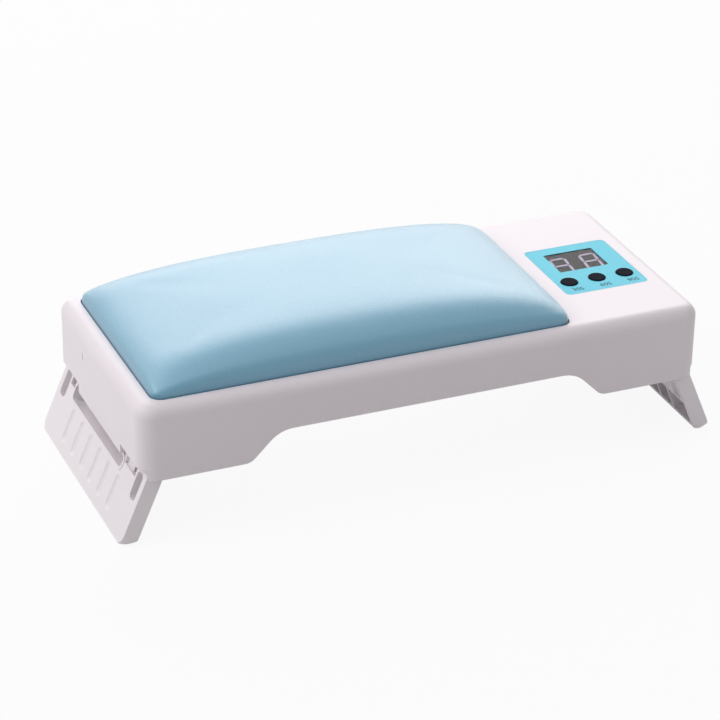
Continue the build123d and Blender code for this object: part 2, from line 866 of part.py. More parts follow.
def power_lead():
    """Lead from the power inlet to the control board."""
    start = (panel_x, side - inlet_length, inlet_z)
    return lead(start, (*inlet_mouth, sum(board_header_z) / 2), (0, -1, 0))


def power_socket():
    """Barrel inlet, flush in the back wall."""
    socket = rod_along_y(panel_x, inlet_z, inlet_flange_radius, (side - inlet_flange, side))
    socket += rod_along_y(panel_x, inlet_z, inlet_body_radius, (side - inlet_length, side))
    socket -= rod_along_y(panel_x, inlet_z, inlet_bore_radius, (side - inlet_bore_depth, side + 1))
    return socket + rod_along_y(
        panel_x, inlet_z, inlet_pin_radius, (side - inlet_bore_depth - 1, side - inlet_pin_recess)
    )


def power_socket_nut():
    """Nut that clamps the inlet from inside."""
    nut = extrude(RegularPolygon(inlet_nut_across / 2, 6, major_radius=False), inlet_nut_thickness)
    nut = Pos(panel_x, inner_side - inlet_nut_thickness, inlet_z) * Rot(-90, 0, 0) * nut
    reach = (inner_side - inlet_nut_thickness - 1, inner_side + 1)
    return nut - rod_along_y(panel_x, inlet_z, inlet_body_radius + inlet_play, reach)


def all_nodes():
    """Every sub-part by name, as a list of its solids."""
    nodes = {
        "upper_housing": [upper_housing()],
        "lower_cover": [lower_cover()],
        "housing_screws": housing_screws(),
        "cushion_board": [cushion_board()],
        "cushion_foam": [cushion_foam()],
        "cushion_cover": [cushion_cover()],
        "cushion_screws": cushion_screws(),
        "panel_overlay": [panel_overlay()],
        "display_window": [behind_window(lens_lap, (lens_bottom, lens_top))],
        "display_module": [behind_window(display_lap, (board_top, lens_bottom))],
        "control_board": [control_board()],
        "control_board_screws": control_board_screws(),
        "board_components": board_components(),
        "switch_bodies": switch_bodies(),
        "led_board": [led_board()],
        "led_beads": led_beads(),
        "led_board_screws": led_board_screws(),
        "led_lead": [led_lead()],
        "power_lead": [power_lead()],
        "lead_connectors": lead_connectors(),
        "power_socket": [power_socket()],
        "power_socket_nut": [power_socket_nut()],
        "left_leg": [left_leg()],
        "left_hinge_pins": left_hinge_pins(),
    }
    nodes["right_leg"] = [turned(leg) for leg in nodes["left_leg"]]
    nodes["right_hinge_pins"] = [turned(pin) for pin in nodes["left_hinge_pins"]]
    for i, x in enumerate(button_xs, start=1):
        nodes[f"button_{i}"] = [button_cap(x)]
        nodes[f"switch_plunger_{i}"] = [switch_plunger(x)]
    return nodes


os.makedirs("parts", exist_ok=True)
for name, pieces in all_nodes().items():
    solids = [solid for piece in pieces for solid in piece.solids()]
    export_step(solids[0] if len(solids) == 1 else Compound(children=solids), f"parts/{name}.step")
    print(f"{name}: {len(solids)} solids, {sum(solid.volume for solid in solids) / 1000:.2f} cm3")
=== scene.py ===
"""Nail lamp: the CAD frame dressed with its padded rest, display, key legends and finishes. Metres."""

from math import cos, pi, radians, sin

import bpy
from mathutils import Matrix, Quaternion, Vector


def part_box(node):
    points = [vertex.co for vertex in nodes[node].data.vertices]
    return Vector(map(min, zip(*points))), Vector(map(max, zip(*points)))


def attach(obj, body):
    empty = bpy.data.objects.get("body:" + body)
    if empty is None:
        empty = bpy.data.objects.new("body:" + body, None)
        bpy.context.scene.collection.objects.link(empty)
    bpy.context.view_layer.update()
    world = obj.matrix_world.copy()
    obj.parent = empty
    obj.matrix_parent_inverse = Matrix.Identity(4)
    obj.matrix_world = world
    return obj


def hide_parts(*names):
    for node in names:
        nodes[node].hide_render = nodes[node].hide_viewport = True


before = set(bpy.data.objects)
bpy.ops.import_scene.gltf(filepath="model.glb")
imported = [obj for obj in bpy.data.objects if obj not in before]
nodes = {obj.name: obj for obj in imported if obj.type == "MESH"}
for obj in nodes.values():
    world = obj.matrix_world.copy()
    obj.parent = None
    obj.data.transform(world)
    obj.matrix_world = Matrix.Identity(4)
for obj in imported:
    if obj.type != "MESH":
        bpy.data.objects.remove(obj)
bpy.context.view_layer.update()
mm = 0.001

# Camera, as fitted to the photograph
camera_azimuth = -23.05
camera_elevation = 28.03
camera_roll = 0.82
camera_distance = 1.5308
camera_target = (-9.2 * mm, 3.9 * mm, 42.7 * mm)
camera_lens = 140.2

# Light
sky_level = 0.30
key_place = (-1.2, 0.3, 1.2)
key_size = (1.2, 1.2)
key_power = 12.5
back_place = (0.75, 1.75, 1.05)
back_size = (2.6, 1.1)
back_power = 28.5
front_place = (0.0, -0.5, 1.5)
front_size = (1.6, 1.2)
front_power = 4.6
floor_side = 12.0
floor_glow = 0.92

# Cushion
cushion_crown = 20.4 * mm
cushion_fullness = 2.6
cushion_slope = 28.0 * mm
cushion_corner = 6.0 * mm
side_bulge = 0.4 * mm
side_reach = 4.0 * mm
top_rings = 26
ring_spacing = 3.0 * mm
last_ring_width = 10.0 * mm
ring_crowding = 2.6
hem_depth = 1.5 * mm
stuffing_pressure = 1.2
stuffing_frames = 16
stuffing_limit = 1.0 * mm
cloth_stretch = 40
cloth_bend = 4

# Display and key legends
digit_left_edges = (107.0 * mm, 125.1 * mm)
digit_width = 10.4 * mm
digit_bottom = -4.2 * mm
digit_height = 18.2 * mm
digit_slant = 0.10
segment_width = 1.6 * mm
segment_gap = 0.25 * mm
segment_proud = 0.04 * mm
digits_shown = ("abcdfg", "abcdefg")
legend_words = ("30S", "60S", "90S")
legend_size = 4.8 * mm
legend_drop = 9.4 * mm
legend_shift = 0.8 * mm
print_thickness = 0.02 * mm

# Lamp beads
bead_columns = 9
bead_rows = 4
chip_side = 1.3 * mm
chip_thickness = 0.25 * mm
chip_above_dome_end = 1.6 * mm
bead_half = 2.6 * mm

# Fine textures
pebble_wobble = 0.6 * mm
pebble_edge = 0.25
# Share of painted shade laid into the leatherette's creases
painted_crease_shade = 0.25
scuff_density = 900.0
fibre_density = 900.0
fibre_depth = 0.1 * mm
track_density = 160.0
track_height = 0.03 * mm
edge_samples = 6


def screen(red, green, blue):
    """Linear colour, with alpha, of an 8-bit screen colour."""
    def channel(value):
        share = value / 255
        return share / 12.92 if share <= 0.04045 else ((share + 0.055) / 1.055) ** 2.4

    return (channel(red), channel(green), channel(blue), 1.0)


# Shader building

def add(tree, kind, inputs=None, **settings):
    """New shader node with its settings, and its inputs set or linked by name or place."""
    new = tree.nodes.new("ShaderNode" + kind)
    for name, value in settings.items():
        setattr(new, name, value)
    for name, value in (inputs or {}).items():
        if isinstance(value, bpy.types.NodeSocket):
            tree.links.new(value, new.inputs[name])
        else:
            new.inputs[name].default_value = value
    return new


def calculate(tree, operation, *values):
    """Result of a math node on its values."""
    return add(tree, "Math", dict(enumerate(values)), operation=operation).outputs[0]


def blend_colours(tree, factor, first, second):
    """Colour between two colours."""
    mix = add(tree, "Mix", {0: factor}, data_type="RGBA")
    for socket, value in ((mix.inputs[6], first), (mix.inputs[7], second)):
        if isinstance(value, bpy.types.NodeSocket):
            tree.links.new(value, socket)
        else:
            socket.default_value = value
    return mix.outputs[2]


def shader_group(name, inputs, outputs):
    """Shader node group with named sockets, and its inner input and output nodes."""
    tree = bpy.data.node_groups.new(name, "ShaderNodeTree")
    for label, value in inputs:
        socket = tree.interface.new_socket(label, in_out="INPUT", socket_type="NodeSocketFloat")
        socket.default_value = value
    for label, kind in outputs:
        tree.interface.new_socket(label, in_out="OUTPUT", socket_type="NodeSocket" + kind)
    inside = tree.nodes.new("NodeGroupInput")
    result = tree.nodes.new("NodeGroupOutput")
    return tree, inside.outputs, result.inputs


def place_group(tree, group, **values):
    """The group's node in a material, with its own values."""
    node = add(tree, "Group", node_tree=group)
    for label, value in values.items():
        node.inputs[label.replace("_", " ")].default_value = value
    return node.outputs


def object_point(tree):
    """Place on the object, in metres."""
    return add(tree, "TexCoord").outputs["Object"]


def moulded_surface_group():
    """Fine spark-eroded grain of moulded plastic, softened edges and a slow drift of tone."""
    tree, given, result = shader_group(
        "Moulded surface",
        [
            ("Grain Size", 0.5 * mm),
            ("Grain Depth", 0.01 * mm),
            ("Edge Radius", 0.3 * mm),
            ("Drift Size", 50 * mm),
        ],
        [("Normal", "Vector"), ("Tone", "Float"), ("Grain", "Float")],
    )
    point = object_point(tree)
    grain_scale = calculate(tree, "DIVIDE", 1.0, given["Grain Size"])
    grain = add(tree, "TexNoise", {"Vector": point, "Scale": grain_scale, "Detail": 3.0})
    drift_scale = calculate(tree, "DIVIDE", 1.0, given["Drift Size"])
    drift = add(tree, "TexNoise", {"Vector": point, "Scale": drift_scale, "Detail": 2.0})
    rounded = add(tree, "Bevel", {"Radius": given["Edge Radius"]}, samples=edge_samples)
    bump = add(tree, "Bump", {
        "Height": grain.outputs["Fac"],
        "Distance": given["Grain Depth"],
        "Normal": rounded.outputs["Normal"],
    })
    tree.links.new(bump.outputs["Normal"], result["Normal"])
    tree.links.new(drift.outputs["Fac"], result["Tone"])
    tree.links.new(grain.outputs["Fac"], result["Grain"])
    return tree


def edge_wear_group():
    """Mask of the outer edges that hands and table rub, broken up by noise."""
    tree, given, result = shader_group(
        "Edge wear",
        [("Reach", 0.8 * mm), ("Strength", 1.0), ("Patch Size", 6.0 * mm)],
        [("Mask", "Float")],
    )
    rounded = add(tree, "Bevel", {"Radius": given["Reach"]}, samples=edge_samples).outputs["Normal"]
    facing = add(tree, "NewGeometry").outputs["Normal"]
    alike = add(tree, "VectorMath", {0: rounded, 1: facing}, operation="DOT_PRODUCT").outputs["Value"]
    bent = calculate(tree, "SUBTRACT", 1.0, alike)
    scale = calculate(tree, "DIVIDE", 1.0, given["Patch Size"])
    patches = add(tree, "TexNoise", {"Vector": object_point(tree), "Scale": scale, "Detail": 4.0})
    broken = calculate(tree, "MULTIPLY", bent, patches.outputs["Fac"])
    worn = calculate(tree, "MULTIPLY", broken, given["Strength"])
    limited = add(tree, "Clamp", {"Value": worn})
    tree.links.new(limited.outputs[0], result["Mask"])
    return tree


def leatherette_group():
    """Embossed pebble grain with fine pores, and its creases as a mask."""
    tree, given, result = shader_group(
        "Leatherette grain",
        [("Pebble Size", 0.9 * mm), ("Emboss Depth", 0.04 * mm), ("Drift Size", 60 * mm)],
        [("Normal", "Vector"), ("Crease", "Float"), ("Tone", "Float")],
    )
    point = object_point(tree)
    scale = calculate(tree, "DIVIDE", 1.0, given["Pebble Size"])
    wobble = add(tree, "TexNoise", {"Vector": point, "Scale": scale, "Detail": 2.0})
    shifted = add(tree, "VectorMath", {0: wobble.outputs["Color"], 3: pebble_wobble}, operation="SCALE")
    bent_point = add(tree, "VectorMath", {0: point, 1: shifted.outputs[0]}, operation="ADD").outputs[0]
    cells = add(tree, "TexVoronoi", {"Vector": bent_point, "Scale": scale}, feature="DISTANCE_TO_EDGE")
    pebbles = add(tree, "MapRange", {"Value": cells.outputs["Distance"], "From Max": pebble_edge})
    pebbles.interpolation_type = "SMOOTHSTEP"
    pores = add(tree, "TexNoise", {"Vector": point, "Scale": calculate(tree, "MULTIPLY", scale, 4.0)})
    height = calculate(tree, "MULTIPLY_ADD", pores.outputs["Fac"], 0.3, pebbles.outputs[0])
    bump = add(tree, "Bump", {"Height": height, "Distance": given["Emboss Depth"]})
    drift_scale = calculate(tree, "DIVIDE", 1.0, given["Drift Size"])
    drift = add(tree, "TexNoise", {"Vector": point, "Scale": drift_scale, "Detail": 1.0})
    tree.links.new(bump.outputs["Normal"], result["Normal"])
    tree.links.new(calculate(tree, "SUBTRACT", 1.0, pebbles.outputs[0]), result["Crease"])
    tree.links.new(drift.outputs["Fac"], result["Tone"])
    return tree


def machined_metal_group():
    """Turning marks round the Z axis with scattered scuffs."""
    tree, given, result = shader_group(
        "Machined metal",
        [("Mark Spacing", 0.2 * mm), ("Mark Depth", 0.004 * mm)],
        [("Normal", "Vector"), ("Scuff", "Float")],
    )
    point = object_point(tree)
    stretched = add(tree, "Mapping", {"Vector": point, "Scale": (0.15, 0.15, 1.0)})
    scale = calculate(tree, "DIVIDE", 1.0, given["Mark Spacing"])
    marks = add(tree, "TexNoise", {"Vector": stretched.outputs[0], "Scale": scale, "Detail": 2.0})
    scuffs = add(tree, "TexNoise", {"Vector": point, "Scale": scuff_density, "Detail": 5.0, "Roughness": 0.7})
    bump = add(tree, "Bump", {"Height": marks.outputs["Fac"], "Distance": given["Mark Depth"]})
    tree.links.new(bump.outputs["Normal"], result["Normal"])
    tree.links.new(scuffs.outputs["Fac"], result["Scuff"])
    return tree


moulded_surface = moulded_surface_group()
edge_wear = edge_wear_group()
leatherette_grain = leatherette_group()
machined_metal = machined_metal_group()


def new_material(name, slot):
    """Material with one Principled shader, with its tree and the shader's inputs."""
    material = bpy.data.materials.new(name)
    material.use_nodes = True
    material["finish_slot"] = slot
    tree = material.node_tree
    shader = next(node for node in tree.nodes if node.type == "BSDF_PRINCIPLED")
    return material, tree, shader.inputs


def between(tree, factor, low, high):
    """Value that runs from low to high with a factor."""
    return add(tree, "MapRange", {"Value": factor, "To Min": low, "To Max": high}).outputs[0]


def plastic(
    name, slot, colour, shade, roughness,
    grain_size=0.5 * mm, grain_depth=0.01 * mm, wear=0.5, gloss=0.5,
):
    """Moulded plastic: fine grain, soft edges, slow tone drift and lightly polished edges."""
    material, tree, shader = new_material(name, slot)
    surface = place_group(tree, moulded_surface, Grain_Size=grain_size, Grain_Depth=grain_depth)
    rubbed = place_group(tree, edge_wear, Strength=wear)["Mask"]
    body = blend_colours(tree, surface["Tone"], colour, shade)
    tree.links.new(blend_colours(tree, rubbed, body, colour), shader["Base Color"])
    dull = between(tree, surface["Grain"], roughness - 0.05, roughness + 0.06)
    tree.links.new(calculate(tree, "MULTIPLY_ADD", rubbed, -0.12, dull), shader["Roughness"])
    tree.links.new(surface["Normal"], shader["Normal"])
    shader["Specular IOR Level"].default_value = gloss
    return material


def metal(name, slot, colour, roughness):
    """Plated or ground metal with fine marks and scuffs."""
    material, tree, shader = new_material(name, slot)
    marks = place_group(tree, machined_metal)
    rubbed = place_group(tree, edge_wear, Strength=0.8)["Mask"]
    dark = tuple(0.7 * channel for channel in colour[:3]) + (1.0,)
    worn = blend_colours(tree, marks["Scuff"], colour, dark)
    tree.links.new(blend_colours(tree, rubbed, worn, colour), shader["Base Color"])
    shader["Metallic"].default_value = 1.0
    tree.links.new(between(tree, marks["Scuff"], roughness - 0.08, roughness + 0.12), shader["Roughness"])
    tree.links.new(marks["Normal"], shader["Normal"])
    return material


def cushion_leatherette():
    """Light blue leatherette: satin face, fine pebble grain, with painted shade darkening the grain's
    creases.
    """
    material, tree, shader = new_material("Light blue leatherette", "cushion_skin")
    grain = place_group(tree, leatherette_grain)
    face = blend_colours(tree, grain["Tone"], screen(88, 157, 186), screen(82, 151, 181))
    # Painted shade: the face darkens towards screen(70, 130, 158) in the grain's creases
    shaded_creases = calculate(tree, "MULTIPLY", grain["Crease"], painted_crease_shade)
    tree.links.new(blend_colours(tree, shaded_creases, face, screen(70, 130, 158)), shader["Base Color"])
    tree.links.new(between(tree, grain["Crease"], 0.40, 0.52), shader["Roughness"])
    shader["IOR"].default_value = 1.9
    shader["Coat Weight"].default_value = 1.0
    shader["Coat Roughness"].default_value = 0.5
    shader["Sheen Weight"].default_value = 0.5
    shader["Sheen Roughness"].default_value = 0.4
    tree.links.new(grain["Normal"], shader["Normal"])
    return material


def printed_film():
    """Cyan panel film: satin, with a faint print screen."""
    material, tree, shader = new_material("Cyan panel film", "label")
    surface = place_group(tree, moulded_surface, Grain_Size=0.25 * mm, Grain_Depth=0.003 * mm)
    printed = blend_colours(tree, surface["Tone"], screen(98, 206, 228), screen(92, 200, 223))
    tree.links.new(printed, shader["Base Color"])
    tree.links.new(between(tree, surface["Grain"], 0.44, 0.54), shader["Roughness"])
    shader["Specular IOR Level"].default_value = 0.25
    tree.links.new(surface["Normal"], shader["Normal"])
    return material


def smoked_window():
    """Smoked clear window of the display."""
    material, tree, shader = new_material("Smoked window", "window")
    surface = place_group(tree, moulded_surface, Grain_Size=2.0 * mm, Grain_Depth=0.002 * mm)
    tint = blend_colours(tree, surface["Tone"], screen(206, 196, 212), screen(200, 190, 207))
    tree.links.new(tint, shader["Base Color"])
    tree.links.new(between(tree, surface["Grain"], 0.04, 0.08), shader["Roughness"])
    tree.links.new(surface["Normal"], shader["Normal"])
    shader["Transmission Weight"].default_value = 1.0
    shader["IOR"].default_value = 1.15
    return material


def bead_resin():
    """Clear resin of the lamp beads."""
    material, tree, shader = new_material("Clear bead resin", "bead")
    surface = place_group(tree, moulded_surface, Grain_Size=1.0 * mm, Grain_Depth=0.002 * mm)
    tint = blend_colours(tree, surface["Tone"], screen(250, 248, 232), screen(244, 240, 214))
    tree.links.new(tint, shader["Base Color"])
    tree.links.new(between(tree, surface["Grain"], 0.03, 0.07), shader["Roughness"])
    tree.links.new(surface["Normal"], shader["Normal"])
    shader["Transmission Weight"].default_value = 1.0
    shader["IOR"].default_value = 1.41
    return material


def circuit_board(name, slot, mask_colour, track_colour):
    """Coated board with a pattern of tracks under the coating."""
    material, tree, shader = new_material(name, slot)
    surface = place_group(tree, moulded_surface, Grain_Size=0.4 * mm, Grain_Depth=0.004 * mm)
    tracks = add(tree, "TexBrick", {
        "Vector": object_point(tree),
        "Scale": track_density,
        "Mortar Size": 0.035,
        "Mortar Smooth": 0.1,
        "Color1": mask_colour,
        "Color2": mask_colour,
        "Mortar": track_colour,
    })
    bump = add(tree, "Bump", {
        "Height": tracks.outputs["Fac"],
        "Distance": track_height,
        "Normal": surface["Normal"],
    })
    tree.links.new(tracks.outputs["Color"], shader["Base Color"])
    tree.links.new(between(tree, surface["Grain"], 0.25, 0.38), shader["Roughness"])
    tree.links.new(bump.outputs["Normal"], shader["Normal"])
    return material


def fibreboard():
    """Pressed fibreboard of the cushion's base."""
    material, tree, shader = new_material("Fibreboard", "base_board")
    fibres = add(tree, "TexNoise", {"Vector": object_point(tree), "Scale": fibre_density, "Detail": 6.0})
    tree.links.new(
        blend_colours(tree, fibres.outputs["Fac"], screen(196, 164, 124), screen(158, 126, 90)),
        shader["Base Color"],
    )
    tree.links.new(between(tree, fibres.outputs["Fac"], 0.75, 0.95), shader["Roughness"])
    bump = add(tree, "Bump", {"Height": fibres.outputs["Fac"], "Distance": fibre_depth})
    tree.links.new(bump.outputs["Normal"], shader["Normal"])
    return material


white_housing = plastic(
    "White housing plastic", "housing", screen(239, 231, 236), screen(236, 227, 233), 0.38, gloss=0.25
)
white_cover = plastic("White cover plastic", "cover", screen(240, 233, 238), screen(234, 227, 233), 0.34)
white_leg = plastic(
    "White leg plastic", "leg", screen(243, 236, 240), screen(239, 231, 236), 0.42,
    grain_depth=0.02 * mm, wear=1.0,
)
key_plastic = plastic("Dark key plastic", "key", screen(8, 10, 26), screen(5, 7, 20), 0.7, gloss=0.05)
display_face = plastic("Display face", "display", screen(104, 94, 112), screen(96, 86, 104), 0.45)
segment_paint = plastic("Pale segments", "display", screen(198, 190, 204), screen(190, 182, 196), 0.40)
legend_ink = plastic("Dark blue ink", "label", screen(4, 40, 64), screen(3, 34, 56), 0.6, gloss=0.1)
black_plastic = plastic("Black moulded plastic", "switch", screen(26, 26, 28), screen(20, 20, 22), 0.45)
natural_plastic = plastic(
    "Natural moulded plastic", "connector", screen(232, 226, 206), screen(224, 216, 194), 0.4
)
lead_sheath = plastic("Black lead sheath", "lead", screen(28, 28, 30), screen(22, 22, 24), 0.55)
chip_phosphor = plastic("Bead phosphor", "bead", screen(222, 196, 84), screen(212, 184, 70), 0.6)
foam_face = plastic(
    "Foam", "foam", screen(240, 236, 220), screen(232, 226, 206), 0.9,
    grain_size=1.2 * mm, grain_depth=0.4 * mm, wear=0.0,
)
zinc_plate = metal("Zinc plated steel", "screw", screen(196, 198, 202), 0.32)
ground_steel = metal("Ground steel", "pin", screen(206, 206, 208), 0.22)
nickel_plate = metal("Nickel plate", "nut", screen(206, 202, 194), 0.26)
leatherette = cushion_leatherette()
panel_film = printed_film()
window_clear = smoked_window()
resin = bead_resin()
green_board = circuit_board("Green circuit board", "circuit_board", screen(24, 88, 52), screen(44, 118, 74))
white_board = circuit_board("White lamp board", "lamp_board", screen(232, 234, 232), screen(214, 216, 214))
board_fibre = fibreboard()

node_finishes = {
    "upper_housing": white_housing,
    "lower_cover": white_cover,
    "left_leg": white_leg,
    "right_leg": white_leg,
    "left_hinge_pins": ground_steel,
    "right_hinge_pins": ground_steel,
    "housing_screws": zinc_plate,
    "cushion_screws": zinc_plate,
    "control_board_screws": zinc_plate,
    "led_board_screws": zinc_plate,
    "cushion_board": board_fibre,
    "cushion_foam": foam_face,
    "cushion_cover": leatherette,
    "panel_overlay": panel_film,
    "display_window": window_clear,
    "display_module": display_face,
    "control_board": green_board,
    "led_board": white_board,
    "board_components": black_plastic,
    "switch_bodies": black_plastic,
    "led_beads": resin,
    "led_lead": lead_sheath,
    "power_lead": lead_sheath,
    "lead_connectors": natural_plastic,
    "power_socket": black_plastic,
    "power_socket_nut": nickel_plate,
    "button_1": key_plastic,
    "button_2": key_plastic,
    "button_3": key_plastic,
    "switch_plunger_1": natural_plastic,
    "switch_plunger_2": natural_plastic,
    "switch_plunger_3": natural_plastic,
}
for node_name, finish in node_finishes.items():
    for material_slot in nodes[node_name].material_slots:
        material_slot.material = finish


# Pieces

def place_piece(name, mesh, material):
    """Object of the mesh that rides on the lamp's body and takes its material's slot."""
    mesh.materials.append(material)
    piece = bpy.data.objects.new(name, mesh)
    bpy.context.scene.collection.objects.link(piece)
    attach(piece, "body")
    return piece


def mesh_piece(name, points, faces, material, smooth=True):
    """Piece with the points and faces."""
    mesh = bpy.data.meshes.new(name)
    mesh.from_pydata(points, [], faces)
    mesh.update()
    if smooth:
        mesh.shade_smooth()
    return place_piece(name, mesh, material)


def rounded_ring(length, width, corner, z, centre_x, count):
    """Points of a rounded rectangle, evenly spread, from the middle of its right end."""
    straight_x = length - 2 * corner
    straight_y = width - 2 * corner
    arc = corner * pi / 2
    around = 2 * (straight_x + straight_y) + 4 * arc
    runs = [
        (straight_y / 2, (length / 2, 0), (0, 1)),
        (arc, (length / 2 - corner, width / 2 - corner), 0),
        (straight_x, (length / 2 - corner, width / 2), (-1, 0)),
        (arc, (-length / 2 + corner, width / 2 - corner), 90),
        (straight_y, (-length / 2, width / 2 - corner), (0, -1)),
        (arc, (-length / 2 + corner, -width / 2 + corner), 180),
        (straight_x, (-length / 2 + corner, -width / 2), (1, 0)),
        (arc, (length / 2 - corner, -width / 2 + corner), 270),
        (straight_y / 2 + 1, (length / 2, -width / 2 + corner), (0, 1)),
    ]
    ring = []
    for i in range(count):
        left = around * i / count
        for run_length, start, way in runs:
            if left < run_length:
                break
            left -= run_length
        if isinstance(way, tuple):
            x, y = start[0] + way[0] * left, start[1] + way[1] * left
        else:
            angle = radians(way) + left / corner
            x, y = start[0] + corner * cos(angle), start[1] + corner * sin(angle)
        ring.append((centre_x + x, y, z))
    return ring


def fullness(distance, reach):
    """Share of the full height at a distance in from an edge: steep at the edge, flat from the reach on."""
    outward = 1 - max(0, min(distance / reach, 1))
    return (1 - outward ** cushion_fullness) ** (1 / cushion_fullness)


def stuff(piece, pinned):
    """Fills the piece by a short cloth simulation, with no point moved further than the limit."""
    scene = bpy.context.scene
    cloth = piece.modifiers.new("Stuffing", "CLOTH")
    cloth.settings.vertex_group_mass = pinned
    cloth.settings.use_pressure = True
    cloth.settings.uniform_pressure_force = stuffing_pressure
    cloth.settings.tension_stiffness = cloth_stretch
    cloth.settings.compression_stiffness = cloth_stretch
    cloth.settings.bending_stiffness = cloth_bend
    cloth.settings.effector_weights.gravity = 0
    cloth.point_cache.frame_end = stuffing_frames
    for step in range(1, stuffing_frames + 1):
        scene.frame_set(step)
    evaluated = piece.evaluated_get(bpy.context.evaluated_depsgraph_get())
    filled = [vertex.co.copy() for vertex in evaluated.data.vertices]
    piece.modifiers.remove(cloth)
    scene.frame_set(1)
    for vertex, place in zip(piece.data.vertices, filled):
        move = place - vertex.co
        if move.length > stuffing_limit:
            move *= stuffing_limit / move.length
        vertex.co += move


def cushion():
    """Padded rest: leatherette pulled tight over foam, tucked into the housing's well all round."""
    low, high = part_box("cushion_cover")
    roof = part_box("upper_housing")[1].z
    centre_x = (low.x + high.x) / 2
    length = high.x - low.x
    width = high.y - low.y
    count = 2 * round((length + width) / ring_spacing)

    def ring(inset, corner):
        return rounded_ring(length - 2 * inset, width - 2 * inset, corner, roof, centre_x, count)

    def over_roof(x, y):
        end_share = fullness(length / 2 - abs(x - centre_x), length / 2)
        return cushion_crown * end_share * fullness(width / 2 - abs(y), cushion_slope)

    seam = ring(0, cushion_corner)
    points = [(x, y, low.z) for x, y, z in seam] + [(x, y, roof - hem_depth) for x, y, z in seam] + seam
    last_inset = (width - last_ring_width) / 2
    for i in range(1, top_rings + 1):
        share = i / top_rings
        inset = last_inset * share ** ring_crowding
        corner = cushion_corner + (last_ring_width / 2 - cushion_corner) * share
        bulge = side_bulge * sin(pi * min(inset / side_reach, 1))
        heights = [over_roof(x, y) for x, y, z in ring(inset, corner)]
        points += [(x, y, z + h) for (x, y, z), h in zip(ring(inset - bulge, corner), heights)]
    rings = len(points) // count
    faces = []
    for level in range(rings - 1):
        first, second = level * count, (level + 1) * count
        for i in range(count):
            j = (i + 1) % count
            faces.append((first + i, first + j, second + j, second + i))
    for start, flip in ((0, True), ((rings - 1) * count, False)):
        for i in range(count // 2):
            across = (count - i) % count
            face = (start + i, start + i + 1, start + (count - i - 1) % count, start + across)
            face = tuple(dict.fromkeys(face))
            faces.append(tuple(reversed(face)) if flip else face)
    piece = mesh_piece("cushion", points, faces, leatherette)
    pinned = piece.vertex_groups.new(name="hem")
    pinned.add(range(3 * count), 1.0, "REPLACE")
    stuff(piece, pinned.name)
    smooth = piece.modifiers.new("Smooth", "SUBSURF")
    smooth.levels = smooth.render_levels = 1
    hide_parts("cushion_cover", "cushion_foam")


def segment(middle_x, middle_y, length, upright, base_z):
    """Points and faces of one pointed display segment."""
    half_width = segment_width / 2
    half_length = length / 2 - segment_gap
    outline = [
        (half_length, 0),
        (half_length - half_width, half_width),
        (-half_length + half_width, half_width),
        (-half_length, 0),
        (-half_length + half_width, -half_width),
        (half_length - half_width, -half_width),
    ]
    if upright:
        outline = [(-y, x) for x, y in outline]
    points = [(middle_x + x, middle_y + y, base_z + z) for z in (0, segment_proud) for x, y in outline]
    faces = [tuple(range(6, 12)), tuple(reversed(range(6)))]
    faces += [(i, (i + 1) % 6, (i + 1) % 6 + 6, i + 6) for i in range(6)]
    return points, faces


def display_digits():
    """Seven-segment digits on the display's face, one piece each."""
    face_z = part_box("display_module")[1].z
    inset = segment_width / 2
    middle_y = digit_bottom + digit_height / 2
    half = digit_height / 2 - inset
    for number, (left, shown) in enumerate(zip(digit_left_edges, digits_shown), start=1):
        middle_x = left + digit_width / 2
        reach = digit_width - segment_width
        places = {
            "a": (middle_x, middle_y + half, reach, False),
            "g": (middle_x, middle_y, reach, False),
            "d": (middle_x, middle_y - half, reach, False),
            "f": (left + inset, middle_y + half / 2, half, True),
            "b": (left + digit_width - inset, middle_y + half / 2, half, True),
            "e": (left + inset, middle_y - half / 2, half, True),
            "c": (left + digit_width - inset, middle_y - half / 2, half, True),
        }
        points = []
        faces = []
        for letter in shown:
            new_points, new_faces = segment(*places[letter], face_z)
            faces += [tuple(len(points) + i for i in face) for face in new_faces]
            points += [(x + digit_slant * (y - middle_y), y, z) for x, y, z in new_points]
        mesh_piece(f"display_digit_{number}", points, faces, segment_paint, smooth=False)


def key_legends():
    """Printed time under each key."""
    film_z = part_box("panel_overlay")[1].z
    for number, word in enumerate(legend_words, start=1):
        low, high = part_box(f"button_{number}")
        letters = bpy.data.curves.new(f"legend_{number}", "FONT")
        letters.body = word
        letters.size = legend_size
        letters.align_x = "CENTER"
        letters.align_y = "CENTER"
        letters.extrude = print_thickness / 2
        source = bpy.data.objects.new("letters", letters)
        bpy.context.scene.collection.objects.link(source)
        bpy.context.view_layer.update()
        mesh = bpy.data.meshes.new_from_object(source)
        bpy.data.objects.remove(source)
        centre_x = (low.x + high.x) / 2 + legend_shift
        centre_y = (low.y + high.y) / 2 - legend_drop
        for vertex in mesh.vertices:
            vertex.co += Vector((centre_x, centre_y, film_z + print_thickness / 2))
        mesh.materials.clear()
        place_piece(f"key_legend_{number}", mesh, legend_ink)


def bead_chips():
    """Phosphor chips inside the clear beads, as one piece."""
    low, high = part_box("led_beads")
    half = chip_side / 2
    base_half = (high.x - low.x) / 2
    chip_z = low.z + bead_half - chip_above_dome_end
    corners = ((-1, -1), (1, -1), (1, 1), (-1, 1))
    points = []
    faces = []
    for column in range(bead_columns):
        for row in range(bead_rows):
            x = (column / (bead_columns - 1) - 0.5) * 2 * (base_half - bead_half)
            y = (row / (bead_rows - 1) - 0.5) * 2 * ((high.y - low.y) / 2 - bead_half)
            start = len(points)
            for z in (chip_z, chip_z + chip_thickness):
                points += [(x + across * half, y + along * half, z) for across, along in corners]
            faces.append(tuple(start + i for i in (3, 2, 1, 0)))
            faces.append(tuple(start + i for i in (4, 5, 6, 7)))
            for i in range(4):
                j = (i + 1) % 4
                faces.append((start + i, start + j, start + j + 4, start + i + 4))
    mesh_piece("bead_chips", points, faces, chip_phosphor, smooth=False)


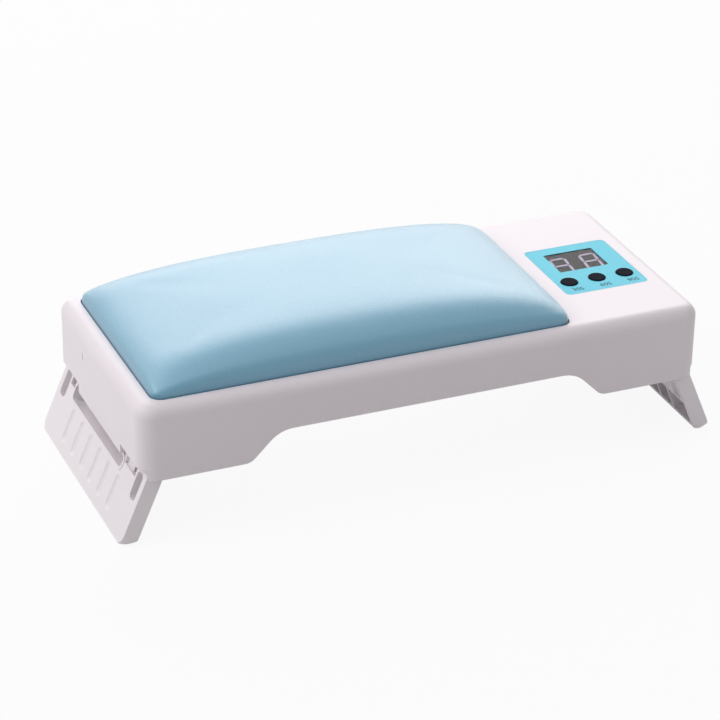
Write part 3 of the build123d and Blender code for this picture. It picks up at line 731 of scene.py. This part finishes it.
cushion()
display_digits()
key_legends()
bead_chips()


# Stage, light and camera

def white_to_camera(tree, level, shaded):
    """Shader that is white to the camera and in reflections, and lights the object at its own level."""
    path = add(tree, "LightPath").outputs
    seen = calculate(tree, "ADD", path["Is Camera Ray"], path["Is Glossy Ray"])
    seen = calculate(tree, "ADD", seen, path["Is Transmission Ray"])
    seen = calculate(tree, "MULTIPLY", calculate(tree, "MINIMUM", seen, 1.0), level)
    glow = add(tree, "Emission", {"Color": (1, 1, 1, 1), "Strength": 1.0})
    return add(tree, "MixShader", {0: seen, 1: shaded, 2: glow.outputs[0]}).outputs[0]


def studio_floor():
    """Plain pale floor, which keeps a soft shadow."""
    half = floor_side / 2
    corners = [(-half, -half, 0), (half, -half, 0), (half, half, 0), (-half, half, 0)]
    mesh = bpy.data.meshes.new("floor")
    mesh.from_pydata(corners, [], [(0, 1, 2, 3)])
    material = bpy.data.materials.new("Pale floor")
    material.use_nodes = True
    tree = material.node_tree
    shader = next(node for node in tree.nodes if node.type == "BSDF_PRINCIPLED")
    shader.inputs["Base Color"].default_value = (0.78, 0.78, 0.78, 1)
    shader.inputs["Roughness"].default_value = 0.9
    shader.inputs["Specular IOR Level"].default_value = 0.1
    result = next(node for node in tree.nodes if node.type == "OUTPUT_MATERIAL")
    tree.links.new(white_to_camera(tree, floor_glow, shader.outputs[0]), result.inputs["Surface"])
    mesh.materials.append(material)
    floor = bpy.data.objects.new("floor", mesh)
    bpy.context.scene.collection.objects.link(floor)


def studio_world():
    """Even grey sky that the camera sees as white."""
    world = bpy.data.worlds.new("studio")
    bpy.context.scene.world = world
    world.use_nodes = True
    tree = world.node_tree
    sky = next(node for node in tree.nodes if node.type == "BACKGROUND")
    sky.inputs["Color"].default_value = (1, 1, 1, 1)
    sky.inputs["Strength"].default_value = sky_level
    result = next(node for node in tree.nodes if node.type == "OUTPUT_WORLD")
    tree.links.new(white_to_camera(tree, 1.0, sky.outputs[0]), result.inputs["Surface"])


def soft_lamp(name, place, size, power):
    """Large rectangular lamp that faces the object."""
    light = bpy.data.lights.new(name, "AREA")
    light.shape = "RECTANGLE"
    light.size, light.size_y = size
    light.energy = power
    lamp = bpy.data.objects.new(name, light)
    lamp.location = place
    lamp.rotation_mode = "QUATERNION"
    lamp.rotation_quaternion = Vector(place).to_track_quat("Z", "Y")
    bpy.context.scene.collection.objects.link(lamp)


def photograph_camera():
    """Camera at the photograph's viewing angle."""
    azimuth = radians(camera_azimuth)
    elevation = radians(camera_elevation)
    back = Vector((sin(azimuth) * cos(elevation), -cos(azimuth) * cos(elevation), sin(elevation)))
    view = bpy.data.cameras.new("camera")
    view.lens = camera_lens
    camera = bpy.data.objects.new("camera", view)
    camera.location = Vector(camera_target) + back * camera_distance
    camera.rotation_mode = "QUATERNION"
    camera.rotation_quaternion = back.to_track_quat("Z", "Y") @ Quaternion((0, 0, 1), radians(camera_roll))
    bpy.context.scene.collection.objects.link(camera)
    bpy.context.scene.camera = camera


studio_floor()
studio_world()
soft_lamp("key", key_place, key_size, key_power)
soft_lamp("front", front_place, front_size, front_power)
soft_lamp("back", back_place, back_size, back_power)
photograph_camera()
bpy.context.scene.view_settings.view_transform = "Standard"
